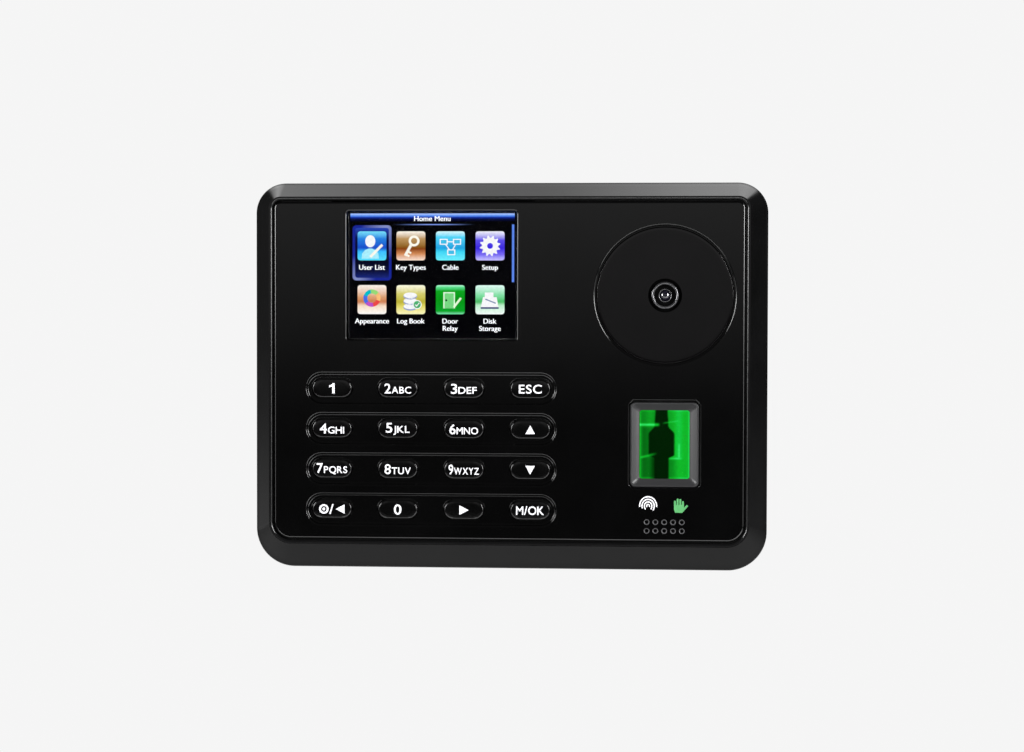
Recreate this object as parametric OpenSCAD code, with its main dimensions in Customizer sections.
// Wall-mounted time and access terminal: palm camera, fingerprint reader,
// colour display and a 16-key keypad in a two-part plastic housing.
//
// Row frame: +X right, +Z up, the wall is the plane Y = 0 and the front faces -Y.
// Each module is drawn flat, as if the terminal lay on its back: x right, y up the wall,
// z out from the wall. upright() then stands it on the wall.

/* [Body] */
// Overall width
body_w = 178; // [176:1:190]
// Overall height
body_h = 134; // [132:1:142]
// Overall depth from the wall to the front rim
body_d = 40; // [40:0.5:46]
// Corner radius at the top
corner_top = 10.5; // [9:0.5:12]
// Corner radius at the bottom
corner_bottom = 13.5; // [12:0.5:15]
// Thickness of the housing's walls
wall = 2.2; // [2:0.1:2.4]
// Height of the parting line above the wall
parting_z = 22; // [22:0.5:24]

/* [Front rim] */
// Depth of the sloped border
bevel_depth = 11; // [9:0.5:11]
// Rim width from the outline to the panel's pocket, at the sides
rim_side = 7.7; // [7.3:0.1:8]
// Rim width at the top
rim_top = 6.5; // [6.2:0.1:7]
// Rim width at the bottom
rim_bottom = 10.4; // [10:0.1:11]
// Flat land round the pocket
rim_land = 1.5; // [1:0.1:2]
// Corner radius of the pocket at the top
pocket_top_r = 2.8; // [2:0.1:4]
// Corner radius of the pocket at the bottom
pocket_bottom_r = 6.3; // [5:0.1:8]

/* [Front panel] */
// How far the panel's face lies below the rim
face_step = 0.5; // [0.3:0.1:0.8]
// Thickness of the glossy panel
panel_t = 2.2; // [2.1:0.1:2.4]
// Gap between the panel and its pocket
panel_gap = 0.35; // [0.3:0.05:0.5]
// Thickness of the adhesive sheet
adhesive_t = 0.3; // [0.2:0.1:0.4]
// Thickness of the housing's front wall
front_wall_t = 2; // [1.8:0.1:2.2]

/* [Display] */
// Centre of the display, across
display_x = -26.3; // [-28:0.1:-25]
// Centre of the display, up
display_y = 34.7; // [34:0.1:35]
// Width of the visible window
display_w = 58.6; // [58:0.1:59]
// Height of the visible window
display_h = 44; // [43.6:0.1:44.4]

/* [Palm sensor] */
// Centre of the palm sensor and of the fingerprint reader, across
sensor_x = 53.7; // [52.5:0.1:53.7]
// Centre of the palm sensor, up
palm_y = 28; // [27:0.5:28]
// Diameter of the opening in the panel
palm_d = 48; // [47:0.5:48]
// Diameter of the hole for the camera's ring
palm_hole_d = 11.5; // [11:0.5:12]
// Depth of the dished face
palm_sag = 0.7; // [0.4:0.1:0.8]
// Number of infrared lamps
palm_leds_n = 12; // [8:2:14]

/* [Fingerprint reader] */
// Centre of the fingerprint reader, up
finger_y = -22.9; // [-23.4:0.1:-22.5]
// Width of the bezel
finger_w = 23.2; // [23:0.1:23.6]
// Height of the bezel
finger_h = 28.8; // [28.4:0.1:29.2]
// Width of the glass window
finger_glass_w = 17; // [16.6:0.1:17.2]
// Height of the glass window
finger_glass_h = 23.4; // [23:0.1:23.6]

/* [Keypad] */
// Centre of the keypad, across
keypad_x = -26.5; // [-27:0.1:-26.5]
// Centre of the keypad, up
keypad_y = -25; // [-25.5:0.1:-25]
// Distance between columns
key_pitch_x = 22.85; // [22.3:0.05:23]
// Distance between rows
key_pitch_y = 13.9; // [13.7:0.1:14]
// Width of a key cap
key_w = 13.7; // [13:0.1:14]
// Height of a key cap
key_h = 6.5; // [6:0.1:6.8]
// Gap between a cap and its hole
key_gap = 0.3; // [0.2:0.05:0.4]
// Travel of a key
key_travel = 1; // [0.6:0.1:1]
// Length of a row's trough
trough_w = 86; // [85:0.5:87]
// Height of a row's trough
trough_h = 10.5; // [10:0.1:11]
// Depth of a row's trough
trough_depth = 1.2; // [1:0.1:1.3]

/* [Speaker] */
// Centre of the sound holes, up
speaker_y = -50.9; // [-51.1:0.1:-50.7]
// Diameter of a sound hole
sound_hole_d = 1.8; // [1.5:0.1:2]
// Distance between sound holes
sound_pitch = 3; // [2.8:0.1:3.1]

/* [Wall plate] */
// Thickness of the steel plate
plate_t = 1.2; // [1:0.1:1.5]
// Distance between the wall screws, across
wall_screw_x = 120; // [116:1:122]
// Distance between the wall screws, up
wall_screw_y = 80; // [78:1:82]
// Diameter of a wall screw's hole
wall_hole_d = 4.8; // [4.2:0.1:5.2]

/* [Hidden] */
$fn = 64;
cut = 1; // how far a cutter runs past the face it opens

// levels, measured out from the wall
face_z = body_d - face_step;
panel_back = face_z - panel_t;
wall_front = panel_back - adhesive_t;
wall_back = wall_front - front_wall_t;
bevel_z = body_d - bevel_depth;
recess_z = 3.5;                    // pocket in the rear housing for the wall plate
floor_t = 2;                       // thickness of the rear housing's back wall
floor_z = recess_z + floor_t;
board_t = 1.6;
main_front = parting_z - 1.2;
main_back = main_front - board_t;

// outlines: half widths, tops and bottoms
body_x = body_w / 2;
body_y = body_h / 2;
pocket_x = body_x - rim_side;
pocket_top = body_y - rim_top;
pocket_bottom = -body_y + rim_bottom;
rear_inset = 5;                    // the rear housing is this much smaller all round
rear_x = body_x - rear_inset;
rear_y = body_y - rear_inset;
rear_r = 8;

// screws and what they go through
thread_gap = 0.1;                  // clearance on a screw's diameter in its thread
housing_screw_d = 2.9;
board_screw_d = 2.4;
board_screw_l = 4;
housing_screws = [for (p = [[-1, 1], [1, 1], [-1, -1], [1, -1]]) [p[0] * (body_x - 10), p[1] * 53.5 + 1.5],
                  [17, body_y - 10], [28, -body_y + 12]];
housing_boss_r = 3.5;
screw_tube_r = 4;
screw_seat_z = 14;                 // where a housing screw's head rests
housing_screw_l = 16;
main_posts = [for (x = [-70, 70], y = [-17, 47]) [x, y]];
keypad_posts = [for (x = [-46.5, 46.5], y = [-28.5, 28.5]) [keypad_x + x, keypad_y + y]];
palm_ears = [60, 180, 300];        // directions of the palm case's ears
ear_radius = 31;

// keypad stack
trough_floor = face_z - trough_depth;
key_top = face_z - 0.2;
key_flange_front = panel_back - 0.2;
key_flange_back = key_flange_front - 1.2;
dome_top = key_flange_back - 1;
mat_t = 1;
dome_h = 2;
mat_front = dome_top - dome_h;
keypad_board_front = mat_front - mat_t;
keypad_board_back = keypad_board_front - board_t;

// display stack
lens_t = 1;
lens_front = panel_back + lens_t;
gasket_back = panel_back - 0.6;
lcd_glass_t = 1.4;
lcd_back = gasket_back - 4;

// palm sensor stack
palm_flange_t = 0.8;
palm_edge_z = face_z - 0.6;
palm_case_r = 27;
palm_case_back = parting_z + 1;
palm_floor_z = palm_case_back + 2;
palm_camera_z = palm_floor_z + 1.5;
palm_led_z = 31;
palm_ring_back = panel_back - 0.4;

// fingerprint reader stack
finger_top = face_z + 0.4;
finger_glass_z = face_z - 1.6;
finger_case_w = 27.4;
finger_case_h = 33.4;
finger_flange_back = wall_back - 2;
finger_case_back = parting_z + 0.7;

// connector bay in the rear housing, and what opens into it
bay_x0 = -52;
bay_x1 = 16;
bay_top = -24;
bay_bottom = -rear_y + 2.6;
bay_roof = main_back - 2.2;
bay_wall = 2.2;
jack_x = -40;
jack_size = [16, 21, 13.2];
power_x = -23.5;
power_size = [9, 14, 11];
header_x = -1;
header_size = [28, 12, 8.5];
header_ways = 7;
usb_y = 20;
usb_size = [15, 13.1, 5.7];
lock_z = 7;

// wall plate
plate_x = 75;
plate_top = 51;
plate_bottom = -58.5;
hook_x = 40;
hook_y = 36;
hook_w = 10;
tamper_x = -50;
tamper_y = 0;
tamper_travel = 2;
reset_x = 20;
reset_y = 5;

KEYS = [
    ["key_1", 0, 0], ["key_2", 1, 0], ["key_3", 2, 0], ["key_esc", 3, 0],
    ["key_4", 0, 1], ["key_5", 1, 1], ["key_6", 2, 1], ["key_up", 3, 1],
    ["key_7", 0, 2], ["key_8", 1, 2], ["key_9", 2, 2], ["key_down", 3, 2],
    ["key_left", 0, 3], ["key_0", 1, 3], ["key_right", 2, 3], ["key_ok", 3, 3]
];

// ---------- shared shapes ----------

module upright() { rotate([90, 0, 0]) children(); }

module slab(z0, z1) { translate([0, 0, z0]) linear_extrude(z1 - z0) children(); }

// rounded rectangle between two heights, its upper and lower corners rounded differently
module outline(half_w, bottom, top, r_top, r_bottom) {
    translate([-half_w, bottom + r_bottom]) square([2 * half_w, top - bottom - r_top - r_bottom]);
    translate([-half_w + r_top, bottom + r_bottom]) square([2 * (half_w - r_top), top - bottom - r_bottom]);
    translate([-half_w + r_bottom, bottom]) square([2 * (half_w - r_bottom), top - bottom - r_top]);
    for (s = [-1, 1]) {
        translate([s * (half_w - r_top), top - r_top]) circle(r_top);
        translate([s * (half_w - r_bottom), bottom + r_bottom]) circle(r_bottom);
    }
}

module round_rect(w, h, r) { outline(w / 2, -h / 2, h / 2, r, r); }

module cut_corner_rect(w, h, c) {
    polygon([[-w / 2 + c, -h / 2], [w / 2 - c, -h / 2], [w / 2, -h / 2 + c], [w / 2, h / 2 - c],
             [w / 2 - c, h / 2], [-w / 2 + c, h / 2], [-w / 2, h / 2 - c], [-w / 2, -h / 2 + c]]);
}

module pill(w, h) {
    square([w - h, h], center = true);
    for (s = [-1, 1]) translate([s * (w - h) / 2, 0]) circle(h / 2);
}

module block(x0, x1, y0, y1, z0, z1) { translate([x0, y0, z0]) cube([x1 - x0, y1 - y0, z1 - z0]); }

// pan-head screw along +z with its head below z = 0 and a cross recess
module screw(d, length, head_d, head_h) {
    difference() {
        union() {
            cylinder(d = d, h = length);
            translate([0, 0, -head_h]) cylinder(d = head_d, h = head_h);
        }
        for (a = [0, 90]) rotate(a)
            translate([-head_d * 0.3, -head_d * 0.07, -head_h - cut])
                cube([head_d * 0.6, head_d * 0.14, cut + head_h * 0.6]);
    }
}

// flat strip that follows points in a plane, with mitred-looking polygon joints
module strip(points, t) {
    for (i = [0:len(points) - 2]) {
        step = points[i + 1] - points[i];
        translate(points[i]) rotate(atan2(step[1], step[0])) translate([0, -t / 2]) square([norm(step), t]);
    }
    for (i = [1:len(points) - 2]) translate(points[i]) circle(t / 2, $fn = 8);
}

// a strip drawn in the y-z plane, width w across x
module ribbon(x, w, points, t) {
    translate([x - w / 2, 0, 0]) rotate([90, 0, 90]) linear_extrude(w) strip(points, t);
}

module at_key(col, row) {
    translate([keypad_x + (col - 1.5) * key_pitch_x, keypad_y + (1.5 - row) * key_pitch_y, 0]) children();
}

module at_palm() { translate([sensor_x, palm_y, 0]) children(); }

module at_finger() { translate([sensor_x, finger_y, 0]) children(); }

module at_speaker() { translate([sensor_x, speaker_y, 0]) children(); }

module at_display() { translate([display_x, display_y, 0]) children(); }

module palm_ear_places() {
    for (a = palm_ears) at_palm() rotate(a) translate([ear_radius, 0, 0]) rotate(-a) children();
}

// ---------- housing ----------

module body_outline(inset) {
    outline(body_x - inset, -body_y + inset, body_y - inset, corner_top - inset, corner_bottom - inset);
}

module pocket_outline(grow) {
    outline(pocket_x + grow, pocket_bottom - grow, pocket_top + grow, pocket_top_r + grow,
        pocket_bottom_r + grow);
}

// inset of the sloped border from the body's outline at the front wall's back, as shares of its full inset
slope_share = (wall_back - bevel_z) / bevel_depth;
cavity_side = slope_share * (rim_side - rim_land) + wall + 0.2;
cavity_top = slope_share * (rim_top - rim_land) + wall + 0.2;
cavity_bottom = slope_share * (rim_bottom - rim_land) + wall + 0.2;

module front_housing() {
    color("#1c1c1e") upright() difference() {
        union() {
            difference() {
                hull() {
                    slab(parting_z, bevel_z) body_outline(0);
                    slab(body_d - 0.01, body_d) pocket_outline(rim_land);
                }
                hull() {
                    slab(parting_z - cut, bevel_z) body_outline(wall);
                    slab(wall_back - 0.01, wall_back)
                        outline(body_x - cavity_side, -body_y + cavity_bottom, body_y - cavity_top, 7, 9);
                }
            }
            for (p = housing_screws) translate(p) slab(parting_z, wall_back + cut) circle(housing_boss_r);
            for (p = keypad_posts) translate(p) slab(keypad_board_front, wall_back + cut) circle(2.5);
        }
        slab(wall_front, body_d + cut) pocket_outline(0);
        for (p = housing_screws) translate(p) slab(parting_z - cut, wall_back - 1)
            circle(d = housing_screw_d + thread_gap);
        for (p = keypad_posts) translate(p) slab(keypad_board_front - cut, wall_back)
            circle(d = board_screw_d + thread_gap);
        palm_ear_places() slab(wall_back - cut, wall_front - 0.4) circle(d = board_screw_d + thread_gap);
        slab(wall_back - cut, wall_front + cut) {
            at_display() round_rect(71, 51.4, 1);
            translate([keypad_x, keypad_y]) square([88, 54], center = true);
            at_palm() circle(palm_case_r + 0.5);
            at_finger() cut_corner_rect(finger_w + 1.2, finger_h + 1.4, 1.5);
            at_speaker() pill(18, 8);
        }
    }
}

module front_panel() {
    color("#08080a") upright() difference() {
        slab(panel_back, face_z)
            outline(pocket_x - panel_gap, pocket_bottom + panel_gap, pocket_top - panel_gap,
                pocket_top_r - panel_gap, pocket_bottom_r - panel_gap);
        at_display() {
            slab(panel_back - cut, face_z + cut) round_rect(display_w, display_h, 0.8);
            slab(panel_back - cut, lens_front) round_rect(display_w + 3.4, display_h + 3.4, 1.4);
        }
        at_palm() {
            slab(panel_back - cut, face_z + cut) circle(d = palm_d);
            slab(panel_back - cut, panel_back + palm_flange_t) circle(palm_d / 2 + 2.2);
            translate([0, 0, face_z - 0.4]) cylinder(r1 = palm_d / 2, r2 = palm_d / 2 + 0.5, h = 0.5);
        }
        at_finger() slab(panel_back - cut, face_z + cut)
            cut_corner_rect(finger_w + 1.2, finger_h + 1.4, 1.5);
        for (row = [0:3]) {
            translate([keypad_x, keypad_y + (1.5 - row) * key_pitch_y]) slab(trough_floor, face_z + cut)
                pill(trough_w, trough_h);
        }
        for (k = KEYS) at_key(k[1], k[2]) slab(panel_back - cut, face_z)
            pill(key_w + 2 * key_gap, key_h + 2 * key_gap);
        at_speaker() for (i = [-2:2], j = [-0.5, 0.5])
            translate([i * sound_pitch, j * sound_pitch]) slab(panel_back - cut, face_z + cut)
                circle(d = sound_hole_d);
    }
}

module panel_adhesive() {
    color("#3a3a3c") upright() slab(wall_front, panel_back) difference() {
        outline(pocket_x - 0.9, pocket_bottom + 0.9, pocket_top - 0.9, pocket_top_r, pocket_bottom_r - 0.9);
        at_display() round_rect(display_w + 5, display_h + 5, 1);
        translate([keypad_x, keypad_y]) square([90, 56], center = true);
        at_palm() circle(palm_case_r + 0.3);
        at_finger() square([finger_w + 3, finger_h + 3], center = true);
        at_speaker() pill(21, 11);
    }
}

// ---------- display ----------

module display_window() {
    color("#9fb4c0", 0.5) upright() at_display() slab(panel_back, lens_front)
        round_rect(display_w + 3, display_h + 3, 1.2);
}

module display_gasket() {
    color("#202022") upright() at_display() slab(gasket_back, panel_back) difference() {
        round_rect(display_w + 2.4, display_h + 2.6, 0.8);
        round_rect(display_w - 0.6, display_h - 0.4, 0.5);
    }
}

module lcd_glass() {
    color("#203a86") upright() at_display() slab(gasket_back - lcd_glass_t, gasket_back)
        square([67, 48], center = true);
}

module lcd_frame() {
    color("#b8bcc0") upright() at_display() difference() {
        slab(lcd_back, gasket_back - 0.5) round_rect(69.2, 50, 0.6);
        slab(gasket_back - lcd_glass_t, gasket_back) square([67.3, 48.3], center = true);
    }
}

// ---------- palm sensor ----------

// profile of the dished disc, turned about its centre: flange below, dish on top
dish_steps = 10;
function dish_z(r) = palm_edge_z - palm_sag * (1 - pow(r / (palm_d / 2 - 0.3), 2));

module palm_window() {
    hole_r = palm_hole_d / 2;
    edge_r = palm_d / 2 - 0.3;
    dish = [for (i = [0:dish_steps]) let (r = hole_r + (edge_r - hole_r) * i / dish_steps) [r, dish_z(r)]];
    color("#101014") upright() at_palm() rotate_extrude($fn = 96)
        polygon(concat([[hole_r, panel_back]], dish, [
            [edge_r, panel_back + palm_flange_t], [palm_d / 2 + 2, panel_back + palm_flange_t],
            [palm_d / 2 + 2, panel_back]]));
}

module palm_lens_ring() {
    color("#2a2a2c") upright() at_palm() difference() {
        union() {
            slab(palm_ring_back, palm_edge_z - 0.3) circle(palm_hole_d / 2 - 0.15);
            slab(palm_edge_z - 0.3, palm_edge_z + 0.1) circle(4.65);
        }
        slab(palm_ring_back - cut, face_z) circle(3.7);
    }
}

module palm_lens() {
    lens_r = 2.5;
    cap_h = 0.9;
    ball_r = (lens_r * lens_r + cap_h * cap_h) / (2 * cap_h);
    color("#405070") upright() at_palm() {
        slab(palm_ring_back - 2, palm_ring_back) circle(lens_r);
        intersection() {
            slab(palm_ring_back, palm_ring_back + 2) circle(lens_r);
            translate([0, 0, palm_ring_back + cap_h - ball_r]) sphere(ball_r);
        }
    }
}

module palm_lens_barrel() {
    color("#161618") upright() at_palm() difference() {
        union() {
            slab(palm_camera_z + 1.2, palm_led_z) round_rect(14, 14, 1);
            slab(palm_led_z, palm_ring_back) circle(4.9);
        }
        slab(palm_ring_back - 2, palm_ring_back + cut) circle(2.55);
        slab(palm_camera_z, palm_ring_back) circle(2);
    }
}

module palm_camera_board() {
    color("#1f5f3a") upright() at_palm() slab(palm_camera_z, palm_camera_z + 1.2) round_rect(21, 21, 1);
}

module palm_led_board() {
    color("#1f5f3a") upright() at_palm() slab(palm_led_z, palm_led_z + 1.2) difference() {
        circle(24.6);
        circle(8.5);
    }
}

module palm_leds() {
    color("#5a3040") upright() at_palm() for (i = [0:palm_leds_n - 1]) rotate(i * 360 / palm_leds_n)
        translate([16, 0, 0]) {
        slab(palm_led_z + 1.2, palm_led_z + 3.2) circle(1.5);
        translate([0, 0, palm_led_z + 3.2]) intersection() {
            sphere(1.5);
            cylinder(r = 2, h = 2);
        }
    }
}

module palm_sensor_case() {
    color("#28282a") upright() difference() {
        union() {
            at_palm() difference() {
                slab(palm_case_back, panel_back) circle(palm_case_r);
                slab(palm_floor_z, panel_back + cut) circle(palm_case_r - 2);
            }
            at_palm() slab(palm_case_back + 1, palm_camera_z) square([22, 22], center = true);
            at_palm() for (a = [45:90:315]) rotate(a) translate([21, 0])
                slab(palm_case_back + 1, palm_led_z) circle(2.5);
            at_palm() for (a = palm_ears) rotate(a) slab(wall_back - 2, wall_back) {
                translate([palm_case_r - 1.5, -4]) square([ear_radius - palm_case_r + 1.5, 8]);
                translate([ear_radius, 0]) circle(4);
            }
        }
        palm_ear_places() slab(wall_back - 2 - cut, wall_back + cut) circle(d = board_screw_d + 0.3);
    }
}

// ---------- fingerprint reader ----------

module fingerprint_bezel() {
    color("#6a6c70") upright() at_finger() difference() {
        union() {
            slab(wall_back, finger_top) round_rect(finger_w, finger_h, 1.6);
            slab(finger_flange_back, wall_back) square([finger_case_w, finger_case_h], center = true);
        }
        slab(finger_flange_back - cut, finger_glass_z)
            square([finger_glass_w + 1, finger_glass_h + 1], center = true);
        slab(finger_flange_back, finger_top) round_rect(finger_glass_w, finger_glass_h, 0.8);
        hull() {
            slab(finger_glass_z + 0.5, finger_glass_z + 0.51)
                square([finger_glass_w, finger_glass_h], center = true);
            slab(finger_top, finger_top + 0.01) square([finger_w - 1.2, finger_h - 1.2], center = true);
        }
    }
}

module fingerprint_prism() {
    half = finger_glass_h / 2 + 0.3;
    color("#30d050", 0.6) upright() at_finger() translate([-(finger_glass_w + 0.6) / 2, 0, 0])
        rotate([90, 0, 90]) linear_extrude(finger_glass_w + 0.6)
            polygon([[-half, finger_glass_z - 1.9], [half - 8, 28], [half, 30.5],
                [half, finger_glass_z], [-half, finger_glass_z]]);
}

module fingerprint_sensor_case() {
    color("#28282a") upright() at_finger() slab(finger_case_back, finger_flange_back) difference() {
        square([finger_case_w, finger_case_h], center = true);
        square([finger_case_w - 3.2, finger_case_h - 3.2], center = true);
    }
}

module fingerprint_camera() {
    color("#161618") upright() at_finger() translate([0, -5, 0]) difference() {
        union() {
            slab(finger_case_back, finger_case_back + 2) square([8, 8], center = true);
            slab(finger_case_back + 2, finger_case_back + 4.3) circle(3.2);
        }
        slab(finger_case_back + 3, finger_case_back + 5) circle(2);
    }
}

module fingerprint_leds() {
    color("#60ff80") upright() at_finger() for (x = [-9, 9], y = [-12, 12])
        translate([x, y, 0]) slab(finger_case_back, finger_case_back + 1.4)
            square([3.2, 2.8], center = true);
}

module fingerprint_board() {
    color("#1f5f3a") upright() at_finger() slab(finger_case_back - 1.2, finger_case_back)
        square([finger_case_w, finger_case_h], center = true);
}

// ---------- keypad ----------

module key_cap(col, row) {
    color("#141416") upright() at_key(col, row) {
        slab(key_flange_front, key_top) pill(key_w, key_h);
        slab(key_flange_back, key_flange_front) pill(key_w + 2.3, key_h + 2.3);
        slab(dome_top, key_flange_back) circle(d = 5.6);
    }
}

module keypad_mat() {
    color("#50545a") upright() difference() {
        union() {
            translate([keypad_x, keypad_y]) slab(mat_front - mat_t, mat_front) round_rect(86, 53, 3);
            for (k = KEYS) at_key(k[1], k[2]) translate([0, 0, mat_front])
                cylinder(r1 = 5.2, r2 = 3.4, h = dome_h);
        }
        for (k = KEYS) at_key(k[1], k[2]) {
            translate([0, 0, mat_front - mat_t - 0.001]) cylinder(r1 = 4.6, r2 = 2.6, h = dome_h + 0.001);
        }
    }
}

module keypad_board() {
    color("#1f5f3a") upright() difference() {
        translate([keypad_x + 0.5, keypad_y]) slab(keypad_board_back, keypad_board_front)
            round_rect(97, 62, 1);
        for (p = keypad_posts) translate(p) slab(keypad_board_back - cut, keypad_board_front + cut)
            circle(d = board_screw_d + 0.3);
    }
}

// ---------- speaker ----------

module speaker_mesh() {
    color("#303032") upright() at_speaker() slab(wall_front, panel_back) pill(20, 10);
}

module speaker_cone() {
    color("#202024") upright() at_speaker() {
        slab(wall_back - 1.1, wall_back - 0.7) pill(27, 11);
        slab(wall_back - 3, wall_back - 1.1) circle(3.5);
    }
}

module speaker_frame() {
    color("#8a8c90") upright() at_speaker() difference() {
        union() {
            slab(wall_back - 3.6, wall_back) pill(30, 14);
            slab(wall_back - 6, wall_back - 3.6) circle(5);
        }
        slab(wall_back - 3.1, wall_back + cut) pill(27.4, 11.4);
    }
}

// ---------- electronics ----------

module main_board() {
    color("#1f5f3a") upright() difference() {
        block(-74, 74, -22, 52, main_back, main_front);
        for (p = main_posts) translate(p) slab(main_back - cut, main_front + cut)
            circle(d = board_screw_d + 0.3);
    }
}

// a chip standing on the board's front, or hanging under its back when h is negative
module chip(x, y, w, d, h) {
    translate([x, y, 0]) slab(h > 0 ? main_front : main_back + h, h > 0 ? main_front + h : main_back)
        square([w, d], center = true);
}

module board_chips() {
    color("#26262a") upright() {
        chip(-4, 20, 16, 16, 1.4);
        chip(18, 30, 12, 10, 1.2);
        chip(18, 12, 12, 10, 1.2);
        chip(-24, 4, 8, 6, 1.2);
        chip(53, 28, 14, 5, palm_case_back - main_front);
        chip(-40, -14, 24, 4, 3.4);
        chip(-27, 18, 24, 4, 2.4);
        chip(tamper_x, tamper_y, 8, 6, -2.7);
        chip(52, -12, 19, 15.5, -12.5);
        chip(56, 40, 6, 6, -3);
        for (x = [0, 11]) translate([x, 36, 0]) slab(main_back - 9, main_back) circle(4);
        difference() {
            chip(reset_x, reset_y, 6, 6, -3.5);
            translate([reset_x, reset_y, 0]) slab(main_back - 4.5, main_back - 2.3) circle(1.9);
        }
    }
}

module coin_cell_holder() {
    color("#3c3c40") upright() translate([-52, 32, 0]) difference() {
        slab(main_front, main_front + 4) circle(11.5);
        slab(main_front + 1.5, main_front + 5) circle(10.2);
        slab(main_front + 1.5, main_front + 5) translate([-15, -3]) square([8, 6]);
    }
}

module coin_cell() {
    color("#c8cacc") upright() translate([-52, 32, 0]) {
        slab(main_front + 1.5, main_front + 4.2) circle(10);
        slab(main_front + 4.2, main_front + 4.7) circle(8.5);
    }
}

module flat_cables() {
    color("#d8d4c8") upright() {
        // keypad board to main board
        ribbon(-40, 20, [[-9, keypad_board_back - 0.15], [-6, keypad_board_back - 0.3], [-3, 28],
            [-4, 25.5], [-10, 24.6], [-12.5, main_front + 3.55]], 0.3);
        // display to main board
        ribbon(-27, 22, [[display_y - 25.1, wall_back - 0.8], [7.6, wall_back - 1.4], [7, 31], [9, 27],
            [14, 24.2], [17.5, main_front + 2.55]], 0.3);
        // fingerprint board to the back of the main board
        ribbon(sensor_x, 12, [[-31, finger_case_back - 1.2], [-31, 17.5], [-28, 15.6], [-24, 16.8],
            [-21, main_back - 0.15]], 0.3);
        // speaker leads
        for (x = [sensor_x - 14.65, sensor_x - 14.05])
            ribbon(x, 0.4, [[-50, wall_back - 3.8], [-48, 27], [-38, 24], [-26, 22.5],
                [-20, main_front + 0.2]], 0.4);
    }
}

module network_jack() {
    z1 = main_back;
    z0 = z1 - jack_size[2];
    color("#a8acb0") upright() difference() {
        block(jack_x - jack_size[0] / 2, jack_x + jack_size[0] / 2, bay_top, bay_top + jack_size[1], z0,
            z1);
        block(jack_x - 5.9, jack_x + 5.9, bay_top - cut, bay_top + 13, z0 + 2.2, z0 + 9.4);
        block(jack_x - 3, jack_x + 3, bay_top - cut, bay_top + 8, z0 + 9.4 - 0.1, z0 + 11.4);
    }
}

module power_jack() {
    z1 = main_back;
    z0 = z1 - power_size[2];
    color("#1a1a1c") upright() difference() {
        block(power_x - power_size[0] / 2, power_x + power_size[0] / 2, bay_top,
            bay_top + power_size[1], z0, z1);
        translate([power_x, bay_top - cut, (z0 + z1) / 2]) rotate([-90, 0, 0]) difference() {
            cylinder(r = 3.15, h = 10.5 + cut);
            translate([0, 0, cut + 1]) cylinder(r = 1, h = 12);
        }
    }
}

module terminal_block() {
    z1 = main_back;
    z0 = z1 - header_size[2];
    pitch = header_size[0] / header_ways;
    color("#2f8a4a") upright() difference() {
        block(header_x - header_size[0] / 2, header_x + header_size[0] / 2, bay_top,
            bay_top + header_size[1], z0, z1);
        for (i = [0:header_ways - 1]) {
            x = header_x + (i - (header_ways - 1) / 2) * pitch;
            block(x - 1.3, x + 1.3, bay_top - cut, bay_top + 8, z0 + 4.6, z0 + 7.2);
            translate([x, bay_top + 4, z0 - cut]) cylinder(r = 1.4, h = cut + 1.6);
        }
    }
}

module usb_port() {
    x1 = rear_x - 0.3;
    x0 = x1 - usb_size[0];
    z1 = main_back;
    z0 = z1 - usb_size[2];
    color("#b0b4b8") upright() difference() {
        block(x0, x1, usb_y - usb_size[1] / 2, usb_y + usb_size[1] / 2, z0, z1);
        difference() {
            block(x1 - 12, x1 + cut, usb_y - 6, usb_y + 6, z0 + 0.5, z1 - 0.5);
            block(x1 - 12 - cut, x1 - 1, usb_y - 5.2, usb_y + 5.2, z0 + 3, z0 + 4.7);
        }
    }
}

// ---------- rear ----------

module rear_outline(inset) {
    outline(rear_x - inset, -rear_y + inset, rear_y - inset, rear_r - inset, rear_r - inset);
}

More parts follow.
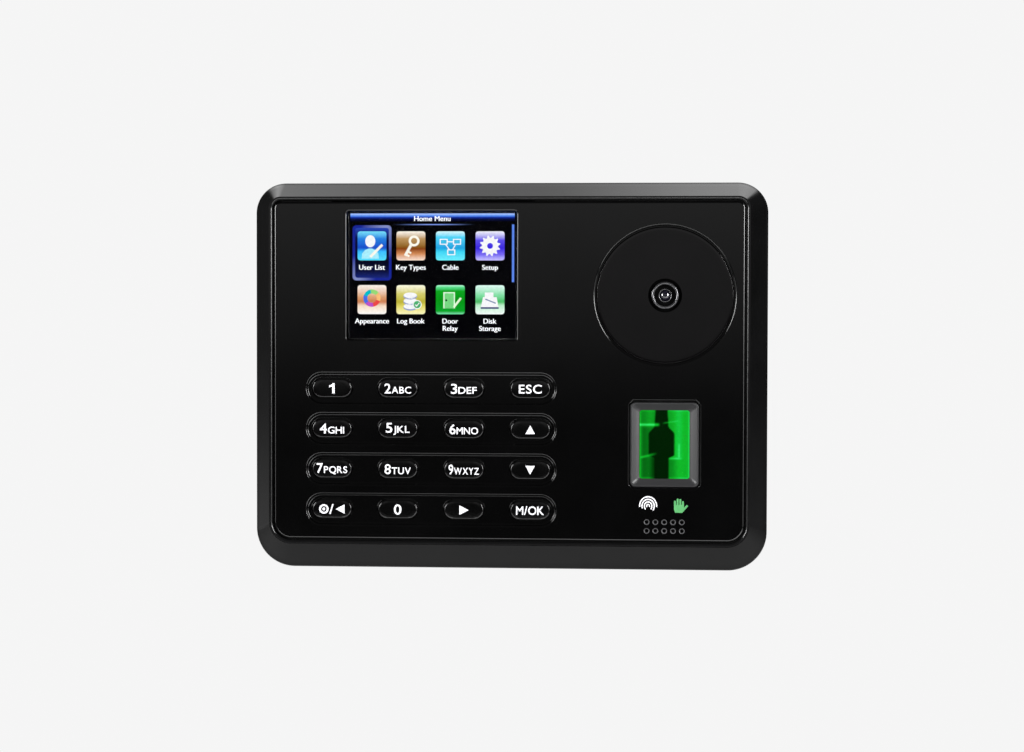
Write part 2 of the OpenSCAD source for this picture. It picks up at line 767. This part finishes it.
module rear_housing() {
    flange_t = 2.5;
    color("#1c1c1e") upright() difference() {
        union() {
            difference() {
                union() {
                    slab(0, parting_z) rear_outline(0);
                    slab(parting_z - flange_t, parting_z) body_outline(0.4);
                }
                slab(floor_z, parting_z + cut) rear_outline(wall);
            }
            block(bay_x0 - bay_wall, bay_x1 + bay_wall, bay_bottom - 1, bay_top + bay_wall, recess_z,
                main_back - 0.4);
            for (p = housing_screws) translate(p) slab(recess_z, parting_z) circle(screw_tube_r);
            for (p = main_posts) translate(p) slab(recess_z, main_back) circle(3);
            translate([tamper_x, tamper_y, 0]) slab(recess_z, floor_z + 2) circle(4);
        }
        // pocket for the wall plate
        slab(-cut, recess_z) rear_outline(2.6);
        // connector bay and the connectors' cut-outs in its upper wall
        block(bay_x0, bay_x1, bay_bottom, bay_top, recess_z - cut, bay_roof);
        block(jack_x - 8.3, jack_x + 8.3, bay_top - cut, bay_top + bay_wall + cut,
            main_back - jack_size[2] - 0.3, main_back + cut);
        block(power_x - 4.8, power_x + 4.8, bay_top - cut, bay_top + bay_wall + cut,
            main_back - power_size[2] - 0.3, main_back + cut);
        block(header_x - 14.3, header_x + 14.3, bay_top - cut, bay_top + bay_wall + cut,
            main_back - header_size[2] - 0.3, main_back + cut);
        // cable notch in the lower wall
        block(-44, -20, -rear_y - cut, bay_bottom + cut, -cut, 9);
        // housing screws
        for (p = housing_screws) translate(p) {
            slab(recess_z - cut, screw_seat_z) circle(3.1);
            slab(screw_seat_z - cut, parting_z + cut) circle(1.7);
        }
        for (p = main_posts) translate(p) slab(main_back - 6, main_back + cut)
            circle(d = board_screw_d + thread_gap);
        // slots for the plate's hooks
        for (s = [-1, 1]) block(s * hook_x - hook_w / 2 - 1, s * hook_x + hook_w / 2 + 1,
            hook_y - 6, hook_y + 2, recess_z - cut, floor_z + cut);
        // lock screw, tamper plunger, reset pinhole and USB port
        translate([0, -rear_y - cut, lock_z]) rotate([-90, 0, 0]) cylinder(r = 1.7, h = 6);
        translate([tamper_x, tamper_y, 0]) slab(recess_z - cut, floor_z + 3) circle(1.95);
        translate([reset_x, reset_y, 0]) slab(recess_z - cut, floor_z + cut) circle(1.3);
        block(rear_x - 6, rear_x + cut, usb_y - 6.9, usb_y + 6.9, main_back - usb_size[2] - 0.3,
            main_back + 0.3);
        // air slots in the upper wall
        for (i = [-5:5]) block(i * 5 - 0.8, i * 5 + 0.8, rear_y - wall - cut, rear_y + cut, 8, 16);
    }
}

module wall_plate() {
    tab_z = 12;
    color("#9a9ea2") upright() difference() {
        union() {
            slab(0, plate_t) outline(plate_x, plate_bottom, plate_top, 6, 6);
            for (s = [-1, 1]) {
                block(s * hook_x - hook_w / 2, s * hook_x + hook_w / 2, hook_y, hook_y + plate_t, 0,
                    floor_z + 0.4 + plate_t);
                block(s * hook_x - hook_w / 2, s * hook_x + hook_w / 2, hook_y, hook_y + 5.2, floor_z + 0.4,
                      floor_z + 0.4 + plate_t);
            }
            block(-6, 6, plate_bottom, plate_bottom + plate_t, 0, tab_z);
        }
        for (s = [-1, 1], t = [-1, 1]) translate([s * wall_screw_x / 2, t * wall_screw_y / 2 - 3])
            slab(-cut, plate_t + cut) circle(d = wall_hole_d);
        // cable window over the bay, and two narrow windows either side of a middle web
        translate([(bay_x0 + bay_x1) / 2, -39]) slab(-cut, plate_t + cut) round_rect(64, 26, 3);
        for (x = [-18, 18]) translate([x, 6]) slab(-cut, plate_t + cut) round_rect(16, 40, 3);
        translate([tamper_x, tamper_y]) slab(-cut, plate_t + cut) circle(3);
        translate([0, plate_bottom - cut, lock_z]) rotate([-90, 0, 0])
            cylinder(r = 1.55, h = plate_t + 2 * cut);
    }
}

// ---------- fasteners ----------

module housing_screws_set() {
    color("#8c8f94") upright() for (p = housing_screws) translate([p[0], p[1], screw_seat_z])
        screw(housing_screw_d, housing_screw_l, 5.6, 2.2);
}

module board_screws() {
    color("#8c8f94") upright() {
        for (p = main_posts) translate([p[0], p[1], main_front]) mirror([0, 0, 1])
            screw(board_screw_d, board_screw_l + 1, 4.4, 1.7);
        for (p = keypad_posts) translate([p[0], p[1], keypad_board_back])
            screw(board_screw_d, board_screw_l, 4.4, 1.7);
        palm_ear_places() translate([0, 0, wall_back - 2]) screw(board_screw_d, 3.4, 4.4, 1.7);
    }
}

module lock_screw() {
    color("#8c8f94") upright() translate([0, -rear_y, lock_z]) rotate([-90, 0, 0]) screw(3, 8, 5.4, 1.9);
}

// ---------- switches ----------

module tamper_plunger() {
    color("#e8e8e4") upright() translate([tamper_x, tamper_y, 0]) {
        slab(0, main_back - 2.8) circle(1.8);
        slab(floor_z + 2 + tamper_travel + 0.5, floor_z + 2 + tamper_travel + 1.7) circle(3);
    }
}

// points of a ring of the spring's wire at an angle along its coil
spring_turns = 4.5;
spring_rings_per_turn = 12;
spring_sides = 6;
spring_mean_r = 2.4;
spring_wire_r = 0.25;
spring_low = floor_z + 2 + tamper_travel + 1.7 + spring_wire_r;
spring_high = main_back - 2.7 - spring_wire_r;
spring_last = spring_turns * spring_rings_per_turn;

function spring_point(i, s) =
    let (a = 360 * i / spring_rings_per_turn,
         b = 360 * s / spring_sides,
         r = spring_mean_r + spring_wire_r * cos(b),
         z = spring_low + (spring_high - spring_low) * i / spring_last + spring_wire_r * sin(b))
    [r * cos(a), r * sin(a), z];

module tamper_spring() {
    n = spring_sides;
    points = [for (i = [0:spring_last], s = [0:n - 1]) spring_point(i, s)];
    sides = [for (i = [0:spring_last - 1], s = [0:n - 1], half = [0, 1])
        half == 0 ? [i * n + s, (i + 1) * n + s, (i + 1) * n + (s + 1) % n]
                  : [i * n + s, (i + 1) * n + (s + 1) % n, i * n + (s + 1) % n]];
    first = [for (s = [1:n - 2]) [0, s, s + 1]];
    last = [for (s = [1:n - 2]) [spring_last * n, spring_last * n + s + 1, spring_last * n + s]];
    color("#b0b4b8") upright() translate([tamper_x, tamper_y, 0])
        polyhedron(points, concat(sides, first, last));
}

module reset_button() {
    color("#d0a030") upright() translate([reset_x, reset_y, 0]) slab(12, main_back - 2.8) circle(1.7);
}

// ---------- nodes ----------

front_housing();
front_panel();
panel_adhesive();
display_window();
display_gasket();
lcd_glass();
lcd_frame();
palm_window();
palm_lens_ring();
palm_lens();
palm_lens_barrel();
palm_camera_board();
palm_led_board();
palm_leds();
palm_sensor_case();
fingerprint_bezel();
fingerprint_prism();
fingerprint_sensor_case();
fingerprint_camera();
fingerprint_leds();
fingerprint_board();
for (k = KEYS) key_cap(k[1], k[2]);
keypad_mat();
keypad_board();
speaker_mesh();
speaker_cone();
speaker_frame();
main_board();
board_chips();
coin_cell();
coin_cell_holder();
flat_cables();
network_jack();
power_jack();
terminal_block();
usb_port();
rear_housing();
wall_plate();
housing_screws_set();  // housing_screws
board_screws();
lock_screw();
tamper_plunger();
tamper_spring();
reset_button();
